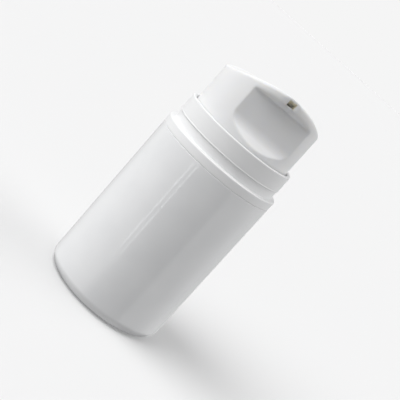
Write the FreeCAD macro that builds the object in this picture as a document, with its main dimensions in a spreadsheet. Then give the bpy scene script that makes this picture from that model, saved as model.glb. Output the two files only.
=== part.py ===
import FreeCAD, Part
import math
import os
from types import SimpleNamespace

import Sketcher

# Airless pump bottle. Millimetres, +Z up, origin at the centre of the base.
# The nozzle points to -Y. The head is drawn raised, with the bottle full.

SIZES = {
    # fits
    "running_gap": 0.05,
    "press_gap": 0.02,
    "seat_gap": 0.03,
    # travel of the pump, and what stays clear at its end
    "pump_stroke": 5.0,
    "stroke_clearance": 0.4,
    "skirt_clearance": 0.7,
    # bottle
    "body_radius": 27.0,
    "body_height": 71.8,
    "body_wall": 1.8,
    "base_corner": 4.4,
    "inner_corner": 1.0,
    "floor_thickness": 2.0,
    "foot_recess": 0.8,
    "foot_width": 3.6,
    "vent_radius": 0.8,
    "notch_width": 3.0,
    "notch_depth": 0.4,
    "seam_rounding": 0.3,
    # snap joint and seal at the bottle's mouth
    "mouth_snap_depth": 0.35,
    "mouth_snap_height": 1.4,
    "mouth_snap_drop": 4.2,
    "mouth_gasket_width": 0.8,
    "mouth_gasket_height": 0.8,
    # collar
    "plug_depth": 6.0,
    "plug_wall": 1.4,
    "band_height": 3.8,
    "band_rounding": 0.7,
    "deck_thickness": 2.0,
    "groove_depth": 0.35,
    "groove_height": 4.0,
    "ring_setback": 1.9,
    "ring_height": 7.5,
    "ring_wall": 1.5,
    "ring_rounding": 0.4,
    "ring_foot_rounding": 0.25,
    "socket_wall": 1.6,
    "socket_height": 4.4,
    "socket_snap_depth": 0.25,
    "socket_snap_height": 1.0,
    # pump housing
    "chamber_wall": 1.4,
    "neck_step": 1.5,
    "neck_length": 4.2,
    "flange_ledge": 3.3,
    "flange_height": 1.2,
    "housing_gasket_height": 0.6,
    "valve_pocket_radius": 3.2,
    "valve_floor": 1.5,
    "inlet_radius": 1.6,
    # inlet valve
    "ball_radius": 2.2,
    "ball_lift": 0.8,
    "cage_height": 1.4,
    "cage_hole_radius": 0.6,
    "cage_hole_inset": 1.2,
    "cage_recess": 0.04,
    # housing cap and stem seal
    "cap_height": 1.8,
    "cap_plug_depth": 2.4,
    "guide_wall": 1.15,
    "stem_seal_height": 1.2,
    # stem, seat and pump piston
    "stem_radius": 3.5,
    "stem_wall": 1.6,
    "stem_top_above_ring": 6.9,
    "shoulder_step": 0.7,
    "shoulder_height": 1.0,
    "piston_play": 1.05,
    "piston_height": 5.6,
    "piston_flow_gap": 1.1,
    "piston_pocket_height": 3.4,
    "piston_wall": 0.7,
    "piston_lip_reach": 0.65,
    "piston_lip_height": 1.3,
    "lip_slope": 0.5,
    "cross_hole_radius": 0.8,
    "cross_hole_rise": 2.0,
    "seat_land": 0.4,
    "seat_height": 1.2,
    "seat_nose_radius": 2.2,
    "seat_nose_height": 1.2,
    "seat_pin_height": 1.0,
    # return spring
    "spring_wire": 0.9,
    "spring_guide_gap": 0.75,
    "spring_turns": 5.5,
    # pump head
    "head_gap": 0.8,
    "head_wall": 1.6,
    "dish_radius": 51.5,
    "dish_centre": 6.0,
    "dish_low": 17.0,
    "dish_wall": 2.0,
    "rim_rounding": 1.0,
    "recess_rounding": 0.35,
    "recess_depth": 4.8,
    "recess_skin": 1.8,
    "crease_drop": 4.0,
    "brow_lip": 0.21,
    "ramp_lip": 1.5,
    "ramp_slope": 0.84,
    "ramp_fillet": 5.5,
    "lip_skin": 1.7,
    "facet_depth": 0.45,
    "facet_lean": 0.09,
    "port_width": 3.44,
    "port_height": 2.3,
    "port_drop": 2.9,
    # spout core in the head
    "spring_seat_above_ring": 4.9,
    "core_flange_edge": 0.85,
    "core_flange_height": 1.2,
    "core_radius": 5.0,
    "core_socket_depth": 4.0,
    "core_bore": 2.2,
    "core_roof": 1.0,
    "core_head_gap": 0.2,
    "duct_root_drop": 2.3,
    "duct_wall": 0.45,
    "duct_setback": 3.0,
    "clip_thickness": 1.5,
    "clip_width": 8.0,
    # follower piston
    "follower_height": 12.0,
    "follower_wall": 1.2,
    "follower_floor_gap": 1.2,
    "follower_waist": 0.6,
    "follower_lip_height": 1.6,
    "follower_rim": 1.0,
    "follower_well_gap": 1.2,
    "follower_well_rise": 0.8,
}

NOTCH_COUNT = 4
CAGE_HOLE_COUNT = 4
# the spring's wire is swept along half a turn at a time
TURNS_PER_SWEEP = 0.5
# cutters reach this far past the solid that they cut
CLEAR = 3.0
# a point this close to a surface lies on it
NEAR = 0.01

doc = FreeCAD.newDocument("airless_pump_bottle")


class Size:
    """A length that knows its number and the sheet expression it comes from."""

    def __init__(self, value, text):
        self.value = float(value)
        self.text = text

    @staticmethod
    def of(other):
        if isinstance(other, Size):
            return other
        return Size(other, repr(float(other)))

    def joined(self, other, sign, value):
        return Size(value, f"({self.text} {sign} {Size.of(other).text})")

    def __add__(self, other):
        return self.joined(other, "+", self.value + Size.of(other).value)

    def __sub__(self, other):
        return self.joined(other, "-", self.value - Size.of(other).value)

    def __mul__(self, other):
        return self.joined(other, "*", self.value * Size.of(other).value)

    def __truediv__(self, other):
        return self.joined(other, "/", self.value / Size.of(other).value)

    def __neg__(self):
        return Size(-self.value, f"(0 - {self.text})")

    def root(self):
        return Size(math.sqrt(self.value), f"sqrt({self.text})")


ZERO = Size(0.0, "0")


def fill_sheet():
    """Writes the driving sizes into a spreadsheet and returns them by name."""
    sheet = doc.addObject("Spreadsheet::Sheet", "Sizes")
    for row, (name, value) in enumerate(SIZES.items(), start=1):
        sheet.set(f"A{row}", name)
        sheet.set(f"B{row}", str(value))
        sheet.setAlias(f"B{row}", name)
    doc.recompute()
    return SimpleNamespace(**{name: Size(value, f"Sizes.{name}") for name, value in SIZES.items()})


dim = fill_sheet()

# heights shared by several pieces
floor_top = dim.foot_recess + dim.floor_thickness
mouth_z = dim.body_height
band_top = mouth_z + dim.band_height
ring_bottom = band_top + dim.groove_height
ring_top = ring_bottom + dim.ring_height
flange_bottom = band_top + dim.housing_gasket_height
flange_top = flange_bottom + dim.flange_height
cap_top = flange_top + dim.cap_height
seal_top = flange_top - dim.cap_plug_depth
seal_bottom = seal_top - dim.stem_seal_height
shoulder_bottom = seal_bottom - dim.seat_gap - dim.shoulder_height
piston_top = shoulder_bottom - dim.piston_play
piston_bottom = piston_top - dim.piston_height
seat_top = piston_bottom - dim.seat_gap
seat_bottom = seat_top - dim.seat_height
nose_bottom = seat_bottom - dim.seat_nose_height
chamber_floor = nose_bottom - dim.pump_stroke - dim.stroke_clearance
ball_drop = (dim.ball_radius * dim.ball_radius - dim.inlet_radius * dim.inlet_radius).root()
cage_top = chamber_floor - dim.cage_recess
cage_bottom = cage_top - dim.cage_height
ball_centre_z = cage_bottom - dim.seat_gap - dim.ball_lift - dim.ball_radius
valve_seat_z = ball_centre_z - ball_drop - dim.press_gap
housing_bottom = valve_seat_z - dim.valve_floor
stem_top = ring_top + dim.stem_top_above_ring
spring_top = ring_top + dim.spring_seat_above_ring
core_flange_top = spring_top + dim.core_flange_height
core_socket_bottom = spring_top - dim.core_socket_depth
guide_top = core_socket_bottom - dim.pump_stroke - dim.stroke_clearance
skirt_bottom = band_top + dim.pump_stroke + dim.skirt_clearance

# radii shared by pieces that fit one another
bore_radius = dim.body_radius - dim.body_wall
plug_radius = bore_radius - dim.running_gap
ring_radius = dim.body_radius - dim.ring_setback
groove_radius = ring_radius - dim.groove_depth
ring_inner = ring_radius - dim.ring_wall
head_radius = ring_inner - dim.head_gap
recess_wall = head_radius - dim.recess_depth
stem_bore = dim.stem_radius - dim.stem_wall
guide_bore = dim.stem_radius + dim.running_gap
guide_outer = guide_bore + dim.guide_wall
spring_radius = guide_outer + dim.spring_guide_gap + dim.spring_wire / 2
piston_pocket_radius = dim.stem_radius + dim.piston_flow_gap
piston_waist_radius = piston_pocket_radius + dim.piston_wall
chamber_fit = piston_waist_radius + dim.piston_lip_reach
chamber_radius = chamber_fit + dim.running_gap
housing_radius = chamber_radius + dim.chamber_wall
neck_radius = housing_radius + dim.neck_step
socket_radius = neck_radius + dim.flange_ledge
mouth_gasket_seat = bore_radius + dim.mouth_gasket_width

# finger dish: an arc about a line along X, behind the bottle's axis
dish_centre_z = ring_top + dim.dish_low + dim.dish_radius
dish_hollow_radius = dim.dish_radius + dim.dish_wall


def dish_height(radius, place):
    """Height of a dish arc at a place in front of (negative) or behind the axis."""
    offset = dim.dish_centre - place
    return dish_centre_z - (radius * radius - offset * offset).root()


# nozzle port below the front rim: its centre line rises from the spout core's bore
core_top = dish_centre_z - dish_hollow_radius - dim.core_head_gap
port_front = head_radius - dim.facet_depth
port_z = dish_height(dim.dish_radius, -head_radius) - dim.port_drop
duct_root_z = core_top - dim.duct_root_drop
port_slope = (port_z - duct_root_z) / port_front


def origin_plane(body, role):
    for feature in body.Origin.OriginFeatures:
        if feature.Role == role:
            return feature


def arc_to(across, up, radius, turn):
    """A profile point reached by an arc, turning left (1) or right (-1)."""
    return across, up, None, (Size.of(radius), turn)


def corner(across, up, radius=None):
    """A profile point reached by a line, rounded if it has a radius."""
    return across, up, radius, None


def rounded(corners):
    """Replaces each rounded corner between level and upright lines by a line end and an arc."""
    steps = []
    for index, (across, up, radius, arc) in enumerate(corners):
        across, up = Size.of(across), Size.of(up)
        if radius is None:
            steps.append((across, up, arc))
            continue
        before = corners[index - 1]
        after = corners[(index + 1) % len(corners)]
        arms = []
        for other in (before, after):
            run = Size.of(other[0]).value - across.value
            rise = Size.of(other[1]).value - up.value
            if abs(run) > abs(rise):
                arms.append((math.copysign(1, run), 0))
            else:
                arms.append((0, math.copysign(1, rise)))
        (run_in, rise_in), (run_out, rise_out) = arms
        turn = 1 if rise_in * run_out - run_in * rise_out > 0 else -1
        steps.append((across + radius * run_in, up + radius * rise_in, None))
        steps.append((across + radius * run_out, up + radius * rise_out, (radius, turn)))
    return steps


def arc_geometry(start, end, radius, turn):
    """The circle arc from start to end that turns left (1) or right (-1)."""
    middle = (start + end) * 0.5
    chord = end - start
    height = math.sqrt(max(radius**2 - (chord.Length / 2) ** 2, 0.0))
    left = FreeCAD.Vector(-chord.y, chord.x, 0).normalize()
    centre = middle + left * (height * turn)
    first, last = (start, end) if turn > 0 else (end, start)
    angle_first = math.atan2(first.y - centre.y, first.x - centre.x)
    angle_last = math.atan2(last.y - centre.y, last.x - centre.x)
    circle = Part.Circle(centre, FreeCAD.Vector(0, 0, 1), radius)
    return Part.ArcOfCircle(circle, angle_first, angle_last)


def draw_loop(sketch, corners):
    """Adds one closed outline whose points and radii are bound to the sheet."""
    steps = rounded(corners)
    points = [FreeCAD.Vector(across.value, up.value, 0) for across, up, arc in steps]
    first_id = sketch.GeometryCount
    geometry = []
    ends = []
    for index, (across, up, arc) in enumerate(steps):
        start, end = points[index - 1], points[index]
        if arc is None:
            geometry.append(Part.LineSegment(start, end))
            ends.append((1, 2))
        else:
            radius, turn = arc
            geometry.append(arc_geometry(start, end, radius.value, turn))
            ends.append((1, 2) if turn > 0 else (2, 1))
    sketch.addGeometry(geometry, False)

    for index, (across, up, arc) in enumerate(steps):
        this_id = first_id + index
        next_index = (index + 1) % len(steps)
        finish_end = ends[index][1]
        joint = Sketcher.Constraint(
            "Coincident", this_id, finish_end, first_id + next_index, ends[next_index][0]
        )
        sketch.addConstraint(joint)
        place_point(sketch, this_id, finish_end, "DistanceX", -2, across)
        place_point(sketch, this_id, finish_end, "DistanceY", -1, up)
        if arc is not None:
            radius = arc[0]
            number = sketch.addConstraint(Sketcher.Constraint("Radius", this_id, radius.value))
            sketch.setExpression(f"Constraints[{number}]", radius.text)


def place_point(sketch, geometry_id, point, kind, axis_id, size):
    """Holds a point at a distance from the sketch's origin, or on its axis."""
    if size.value == 0:
        sketch.addConstraint(Sketcher.Constraint("PointOnObject", geometry_id, point, axis_id))
        return
    constraint = Sketcher.Constraint(kind, -1, 1, geometry_id, point, size.value)
    number = sketch.addConstraint(constraint)
    sketch.setExpression(f"Constraints[{number}]", size.text)


def new_body(name):
    body = doc.addObject("PartDesign::Body", name)
    body.Label = name
    return body


def new_sketch(body, name, role, loops):
    sketch = body.newObject("Sketcher::SketchObject", name)
    sketch.AttachmentSupport = (origin_plane(body, role), "")
    sketch.MapMode = "FlatFace"
    for corners in loops:
        draw_loop(sketch, corners)
    doc.recompute()
    return sketch


def turned(name, corners):
    """A body turned about Z from an outline given as radius and height."""
    body = new_body(name)
    sketch = new_sketch(body, f"{name}_profile", "XZ_Plane", [corners])
    revolution = body.newObject("PartDesign::Revolution", f"{name}_turned")
    revolution.Profile = sketch
    revolution.ReferenceAxis = (sketch, ["V_Axis"])
    revolution.Angle = 360
    doc.recompute()
    return body


def block_feature(body, kind, name, role, loops, width):
    """A pad or pocket of a given width, centred on the sketch's plane."""
    sketch = new_sketch(body, f"{name}_sketch", role, loops)
    before = body.Shape.Volume
    feature = body.newObject(f"PartDesign::{kind}", name)
    feature.Profile = sketch
    feature.SideType = "Symmetric"
    feature.setExpression("Length", Size.of(width).text)
    doc.recompute()
    report_change(name, before, body.Shape.Volume)
    return feature


def report_change(name, before, after):
    if abs(after - before) < 1e-6:
        raise RuntimeError(f"{name} changes nothing")


def ring_pattern(body, feature, name, count):
    """Repeats a feature round Z."""
    before = body.Shape.Volume
    pattern = body.newObject("PartDesign::PolarPattern", name)
    pattern.Originals = [feature]
    pattern.Axis = (origin_plane(body, "Z_Axis"), [""])
    pattern.Angle = 360
    pattern.Occurrences = count
    body.Tip = pattern
    doc.recompute()
    report_change(name, before, body.Shape.Volume)


def box_loop(low_across, low_up, high_across, high_up):
    return [
        corner(low_across, low_up),
        corner(high_across, low_up),
        corner(high_across, high_up),
        corner(low_across, high_up),
    ]


def ring_section(inner, outer, bottom, top):
    return box_loop(inner, bottom, outer, top)


def make_bottle_body():
    """Straight bottle with a raised floor, vent notches under the foot and a snap groove."""
    foot_outer = dim.body_radius - dim.base_corner
    foot_inner = foot_outer - dim.foot_width
    snap_top = mouth_z - dim.mouth_snap_drop + dim.mouth_snap_height / 2
    snap_bottom = snap_top - dim.mouth_snap_height
    snap_radius = bore_radius + dim.mouth_snap_depth
    body = turned("bottle_body", [
        corner(dim.vent_radius, dim.foot_recess),
        corner(foot_inner, dim.foot_recess),
        corner(foot_inner, ZERO),
        corner(dim.body_radius, ZERO, dim.base_corner),
        corner(dim.body_radius, mouth_z, dim.seam_rounding),
        corner(mouth_gasket_seat, mouth_z),
        corner(mouth_gasket_seat, mouth_z - dim.mouth_gasket_height),
        corner(bore_radius, mouth_z - dim.mouth_gasket_height),
        corner(bore_radius, snap_top),
        corner(snap_radius, snap_top),
        corner(snap_radius, snap_bottom),
        corner(bore_radius, snap_bottom),
        corner(bore_radius, floor_top, dim.inner_corner),
        corner(dim.vent_radius, floor_top),
    ])
    notch = box_loop(foot_inner - CLEAR, -dim.notch_depth, dim.body_radius, dim.notch_depth)
    pocket = block_feature(body, "Pocket", "foot_notch", "YZ_Plane", [notch], dim.notch_width)
    ring_pattern(body, pocket, "foot_notches", NOTCH_COUNT)
    return body


def make_mouth_gasket():
    inner = bore_radius
    outer = mouth_gasket_seat - dim.running_gap
    section = ring_section(inner, outer, mouth_z - dim.mouth_gasket_height, mouth_z)
    return turned("mouth_gasket", section)


def make_closure_collar():
    """Plug, flush band, groove and upright ring in one moulding, with the pump's socket on its deck."""
    plug_inner = plug_radius - dim.plug_wall
    plug_bottom = mouth_z - dim.plug_depth
    bead_radius = bore_radius + dim.mouth_snap_depth - dim.running_gap * 2
    bead_middle = mouth_z - dim.mouth_snap_drop
    bead_half = dim.mouth_snap_height / 2 - dim.running_gap * 2
    deck_bottom = band_top - dim.deck_thickness
    socket_outer = socket_radius + dim.socket_wall
    socket_top = band_top + dim.socket_height
    snap_middle = flange_top + dim.cap_height / 2
    snap_half = dim.socket_snap_height / 2
    snap_radius = socket_radius + dim.socket_snap_depth
    hole_radius = neck_radius + dim.running_gap
    return turned("closure_collar", [
        corner(plug_inner, plug_bottom),
        corner(plug_radius, plug_bottom),
        corner(plug_radius, bead_middle - bead_half),
        corner(bead_radius, bead_middle),
        corner(bead_radius, bead_middle + bead_half),
        corner(plug_radius, bead_middle + bead_half),
        corner(plug_radius, mouth_z),
        corner(dim.body_radius, mouth_z, dim.seam_rounding),
        corner(dim.body_radius, band_top, dim.band_rounding),
        corner(groove_radius, band_top),
        corner(groove_radius, ring_bottom),
        corner(ring_radius, ring_bottom, dim.ring_foot_rounding),
        corner(ring_radius, ring_top, dim.ring_rounding),
        corner(ring_inner, ring_top, dim.ring_rounding),
        corner(ring_inner, band_top),
        corner(socket_outer, band_top),
        corner(socket_outer, socket_top),
        corner(socket_radius, socket_top),
        corner(socket_radius, snap_middle + snap_half),
        corner(snap_radius, snap_middle + snap_half),
        corner(snap_radius, snap_middle - snap_half),
        corner(socket_radius, snap_middle - snap_half),
        corner(socket_radius, band_top),
        corner(hole_radius, band_top),
        corner(hole_radius, deck_bottom),
        corner(plug_inner, deck_bottom),
    ])


def make_pump_housing():
    """Flanged pump chamber with the inlet valve's pocket in its foot."""
    flange_radius = socket_radius - dim.running_gap
    neck_bottom = flange_bottom - dim.neck_length
    return turned("pump_housing", [
        corner(dim.inlet_radius, housing_bottom),
        corner(housing_radius, housing_bottom),
        corner(housing_radius, neck_bottom),
        corner(neck_radius, neck_bottom),
        corner(neck_radius, flange_bottom),
        corner(flange_radius, flange_bottom),
        corner(flange_radius, flange_top),
        corner(chamber_radius, flange_top),
        corner(chamber_radius, chamber_floor),
        corner(dim.valve_pocket_radius, chamber_floor),
        corner(dim.valve_pocket_radius, valve_seat_z),
        corner(dim.inlet_radius, valve_seat_z),
    ])


def make_housing_gasket():
    inner = neck_radius + dim.running_gap
    outer = socket_radius - dim.running_gap
    return turned("housing_gasket", ring_section(inner, outer, band_top, flange_bottom))


def make_housing_cap():
    """Lid of the pump chamber, snapped into the socket, with the stem's guide tube."""
    cap_radius = socket_radius - dim.running_gap
    bead_radius = socket_radius + dim.socket_snap_depth - dim.running_gap
    bead_middle = flange_top + dim.cap_height / 2
    bead_half = dim.socket_snap_height / 2 - dim.running_gap
    return turned("housing_cap", [
        corner(guide_bore, seal_top),
        corner(chamber_fit, seal_top),
        corner(chamber_fit, flange_top),
        corner(cap_radius, flange_top),
        corner(cap_radius, bead_middle - bead_half),
        corner(bead_radius, bead_middle),
        corner(bead_radius, bead_middle + bead_half),
        corner(cap_radius, bead_middle + bead_half),
        corner(cap_radius, cap_top),
        corner(guide_outer, cap_top),
        corner(guide_outer, guide_top),
        corner(guide_bore, guide_top),
    ])


def make_stem_seal():
    inner = dim.stem_radius + dim.press_gap
    return turned("stem_seal", ring_section(inner, chamber_fit, seal_bottom, seal_top))


def make_stem():
    """Hollow plunger with a shoulder above the piston and cross holes below it."""
    shoulder_radius = dim.stem_radius + dim.shoulder_step
    body = turned("stem", [
        corner(stem_bore, piston_bottom),
        corner(dim.stem_radius, piston_bottom),
        corner(dim.stem_radius, shoulder_bottom),
        corner(shoulder_radius, shoulder_bottom),
        corner(shoulder_radius, shoulder_bottom + dim.shoulder_height),
        corner(dim.stem_radius, shoulder_bottom + dim.shoulder_height),
        corner(dim.stem_radius, stem_top),
        corner(stem_bore, stem_top),
    ])
    hole_z = piston_bottom + dim.cross_hole_rise
    width = dim.stem_radius * 2 + CLEAR
    for name, role in (("cross_hole_x", "YZ_Plane"), ("cross_hole_y", "XZ_Plane")):
        round_pocket(body, name, role, ZERO, hole_z, dim.cross_hole_radius, width)
    return body


def round_pocket(body, name, role, run, rise, radius, width):
    """A round hole centred on a point of the sketch's plane, cut to both sides."""
    sketch = body.newObject("Sketcher::SketchObject", f"{name}_sketch")
    sketch.AttachmentSupport = (origin_plane(body, role), "")
    sketch.MapMode = "FlatFace"
    centre = FreeCAD.Vector(run.value, rise.value, 0)
    sketch.addGeometry(Part.Circle(centre, FreeCAD.Vector(0, 0, 1), radius.value), False)
    place_point(sketch, 0, 3, "DistanceX", -2, run)
    place_point(sketch, 0, 3, "DistanceY", -1, rise)
    number = sketch.addConstraint(Sketcher.Constraint("Radius", 0, radius.value))
    sketch.setExpression(f"Constraints[{number}]", radius.text)
    doc.recompute()
    before = body.Shape.Volume
    pocket = body.newObject("PartDesign::Pocket", name)
    pocket.Profile = sketch
    pocket.SideType = "Symmetric"
    pocket.setExpression("Length", Size.of(width).text)
    doc.recompute()
    report_change(name, before, body.Shape.Volume)
    return pocket


def make_piston_seat():
    """Plug in the stem's foot whose flange closes the piston from below."""
    pin_radius = stem_bore - dim.press_gap
    seat_radius = piston_pocket_radius + dim.seat_land
    return turned("piston_seat", [
        corner(ZERO, nose_bottom),
        corner(dim.seat_nose_radius, nose_bottom),
        corner(seat_radius, seat_bottom),
        corner(seat_radius, seat_top),
        corner(pin_radius, seat_top),
        corner(pin_radius, seat_top + dim.seat_pin_height),
        corner(ZERO, seat_top + dim.seat_pin_height),
    ])


def make_pump_piston():
    """Two-lipped piston that slides a little on the stem."""
    lower_lip = piston_bottom + dim.piston_lip_height
    upper_lip = piston_top - dim.piston_lip_height
    pocket_top = piston_bottom + dim.piston_pocket_height
    return turned("pump_piston", [
        corner(piston_pocket_radius, piston_bottom),
        corner(chamber_fit, piston_bottom),
        corner(chamber_fit, lower_lip),
        corner(piston_waist_radius, lower_lip + dim.lip_slope),
        corner(piston_waist_radius, upper_lip - dim.lip_slope),
        corner(chamber_fit, upper_lip),
        corner(chamber_fit, piston_top),
        corner(guide_bore, piston_top),
        corner(guide_bore, pocket_top),
        corner(piston_pocket_radius, pocket_top),
    ])


def make_inlet_ball():
    ball = doc.addObject("Part::Sphere", "inlet_ball")
    ball.Label = "inlet_ball"
    ball.setExpression("Radius", dim.ball_radius.text)
    ball.setExpression("Placement.Base.z", ball_centre_z.text)
    doc.recompute()
    return ball


def make_valve_cage():
    """Drilled disc that keeps the ball in its pocket."""
    radius = dim.valve_pocket_radius - dim.press_gap
    body = turned("valve_cage", ring_section(ZERO, radius, cage_bottom, cage_top))
    depth = cage_top * 2 + CLEAR
    hole_circle = dim.valve_pocket_radius - dim.cage_hole_inset
    hole = round_pocket(
        body, "cage_hole", "XY_Plane", hole_circle, ZERO, dim.cage_hole_radius, depth
    )
    ring_pattern(body, hole, "cage_holes", CAGE_HOLE_COUNT)
    return body


def make_return_spring():
    """Helical wire between the housing cap and the head."""
    wire_radius = dim.spring_wire / 2
    bottom = cap_top + wire_radius
    rise = spring_top - cap_top - dim.spring_wire - dim.press_gap
    helix = doc.addObject("Part::Helix", "spring_path")
    helix.setExpression("Radius", spring_radius.text)
    helix.setExpression("Height", rise.text)
    helix.setExpression("Pitch", (rise / dim.spring_turns).text)
    helix.SegmentLength = TURNS_PER_SWEEP
    helix.setExpression("Placement.Base.z", bottom.text)
    wire = doc.addObject("Part::Circle", "spring_wire_section")
    wire.setExpression("Radius", wire_radius.text)
    upright = FreeCAD.Rotation(FreeCAD.Vector(1, 0, 0), 90)
    wire.Placement = FreeCAD.Placement(FreeCAD.Vector(), upright)
    wire.setExpression("Placement.Base.x", spring_radius.text)
    wire.setExpression("Placement.Base.z", bottom.text)
    doc.recompute()
    spring = doc.addObject("Part::Sweep", "return_spring")
    spring.Label = "return_spring"
    spring.Sections = [wire]
    edges = [f"Edge{number + 1}" for number in range(len(helix.Shape.Edges))]
    spring.Spine = (helix, edges)
    spring.Solid = True
    spring.Frenet = True
    doc.recompute()
    return spring


def dish_loop(radius, reach, top):
    """Everything above the dish's arc, out to a reach in front of and behind the axis."""
    front = -reach
    return [
        corner(front, dish_height(radius, front)),
        arc_to(reach, dish_height(radius, reach), radius, 1),
        corner(reach, top),
        corner(front, top),
    ]


def recess_loop(reach):
    """The front recess: upright wall, filleted ramp below and sloping brow above."""
    wall = -recess_wall
    front = -reach
    ramp_foot = ring_top + dim.ramp_lip - dim.ramp_slope * (reach - head_radius)
    ramp_head = ring_top + dim.ramp_lip + dim.ramp_slope * dim.recess_depth
    slant = (dim.ramp_slope * dim.ramp_slope + 1).root()
    tangent = dim.ramp_fillet * (slant - dim.ramp_slope)
    crease = port_z - dim.crease_drop
    brow_lip = port_z - dim.port_height / 2 - dim.brow_lip
    brow_slope = (brow_lip - crease) / dim.recess_depth
    brow = crease + brow_slope * (reach - recess_wall)
    return [
        corner(front, ramp_foot),
        corner(wall - tangent / slant, ramp_head - dim.ramp_slope * tangent / slant),
        arc_to(wall, ramp_head + tangent, dim.ramp_fillet, 1),
        corner(wall, crease),
        corner(front, brow),
    ]


def slanted_loop(near, far, half_height):
    """A band along the nozzle's slanted centre line, between two places in front of the axis."""
    near_z = duct_root_z + port_slope * near
    far_z = duct_root_z + port_slope * far
    return [
        corner(-far, far_z - half_height),
        corner(-near, near_z - half_height),
        corner(-near, near_z + half_height),
        corner(-far, far_z + half_height),
    ]


def round_edges(body, name, radius, wanted):
    """Rounds the edges of the head's outer side whose middle point is wanted."""
    base = body.Tip
    names = []
    for number, edge in enumerate(base.Shape.Edges, start=1):
        middle = edge.valueAt((edge.FirstParameter + edge.LastParameter) / 2)
        on_side = abs(math.hypot(middle.x, middle.y) - head_radius.value) < NEAR
        if on_side and wanted(edge, middle):
            names.append(f"Edge{number}")
    before = body.Shape.Volume
    fillet = body.newObject("PartDesign::Fillet", name)
    fillet.Base = (base, names)
    fillet.setExpression("Radius", radius.text)
    doc.recompute()
    report_change(name, before, body.Shape.Volume)


def is_rim(edge, middle):
    """The closed edge between the head's side and its dish."""
    return edge.isClosed() and middle.z > ring_top.value


def is_recess_edge(edge, middle):
    """The edges where the front recess breaks through the head's side."""
    return middle.y < NEAR - recess_wall.value


def make_actuator_block():
    """The head's outer form: a round button with dish, recess, nozzle facet and slanted port."""
    reach = head_radius + CLEAR
    top = dish_centre_z - dim.dish_radius / 2
    width = reach * 2
    body = turned("actuator_block", ring_section(ZERO, head_radius, skirt_bottom, top - CLEAR))
    dish = dish_loop(dim.dish_radius, reach, top)
    block_feature(body, "Pocket", "finger_dish", "YZ_Plane", [dish], width)
    round_edges(body, "rim_fillet", dim.rim_rounding, is_rim)
    block_feature(body, "Pocket", "front_recess", "YZ_Plane", [recess_loop(reach)], width)
    round_edges(body, "recess_fillet", dim.recess_rounding, is_recess_edge)
    facet_low = head_radius - dim.facet_depth - dim.facet_lean * dim.port_height
    facet_high = head_radius - dim.facet_depth + dim.facet_lean * dim.port_height
    facet = [
        corner(-facet_low, port_z - dim.port_height),
        corner(-facet_high, port_z + dim.port_height),
        corner(-reach, port_z + dim.port_height),
        corner(-reach, port_z - dim.port_height),
    ]
    block_feature(body, "Pocket", "nozzle_facet", "YZ_Plane", [facet], head_radius)
    port = slanted_loop(dim.core_radius, reach, dim.port_height / 2)
    block_feature(body, "Pocket", "nozzle_port", "YZ_Plane", [port], dim.port_width)
    return body


def make_actuator_hollow():
    """The space inside the head, with two clips left standing beside the spout core."""
    inner = head_radius - dim.head_wall
    reach = head_radius + CLEAR
    top = dish_centre_z - dim.dish_radius / 2
    width = reach * 2
    body = turned("actuator_hollow", ring_section(ZERO, inner, skirt_bottom - CLEAR, top - CLEAR))
    ceiling = dish_loop(dish_hollow_radius, reach, top)
    block_feature(body, "Pocket", "hollow_ceiling", "YZ_Plane", [ceiling], width)
    front_wall = recess_wall - dim.recess_skin
    step_z = ring_top + dim.ramp_lip - dim.lip_skin
    behind_recess = box_loop(-reach, step_z, -front_wall, top)
    block_feature(body, "Pocket", "hollow_front", "YZ_Plane", [behind_recess], width)
    clip_inner = dim.core_radius + dim.running_gap
    clip_outer = clip_inner + dim.clip_thickness
    clip_bottom = core_flange_top + dim.running_gap
    clips = [
        box_loop(clip_inner, clip_bottom, clip_outer, top),
        box_loop(-clip_outer, clip_bottom, -clip_inner, top),
    ]
    block_feature(body, "Pocket", "core_clips", "XZ_Plane", clips, dim.clip_width)
    return body


def make_actuator_shell():
    shell = doc.addObject("Part::Cut", "actuator_shell")
    shell.Label = "actuator_shell"
    shell.Base = make_actuator_block()
    shell.Tool = make_actuator_hollow()
    doc.recompute()
    return shell


def make_spout_core():
    """Stem socket with a spring seat, and the slanted duct that runs into the nozzle port."""
    socket_bore = dim.stem_radius + dim.seat_gap
    socket_outer = spring_radius - dim.spring_wire
    flange_radius = spring_radius + dim.spring_wire / 2 + dim.core_flange_edge
    body = turned("spout_core", [
        corner(socket_bore, core_socket_bottom),
        corner(socket_outer, core_socket_bottom),
        corner(socket_outer, spring_top),
        corner(flange_radius, spring_top),
        corner(flange_radius, core_flange_top),
        corner(dim.core_radius, core_flange_top),
        corner(dim.core_radius, core_top),
        corner(ZERO, core_top),
        corner(ZERO, core_top - dim.core_roof),
        corner(dim.core_bore, core_top - dim.core_roof),
        corner(dim.core_bore, stem_top + dim.seat_gap),
        corner(socket_bore, stem_top + dim.seat_gap),
    ])
    far = port_front - dim.duct_setback
    tube_half = dim.port_height / 2 - dim.running_gap
    tube = slanted_loop(dim.core_bore + dim.duct_wall, far, tube_half)
    tube_width = dim.port_width - dim.running_gap * 2
    block_feature(body, "Pad", "duct_tube", "YZ_Plane", [tube], tube_width)
    bore = slanted_loop(dim.core_bore / 2, far + CLEAR, tube_half - dim.duct_wall)
    block_feature(body, "Pocket", "duct_bore", "YZ_Plane", [bore], tube_width - dim.duct_wall * 2)
    return body


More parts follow.
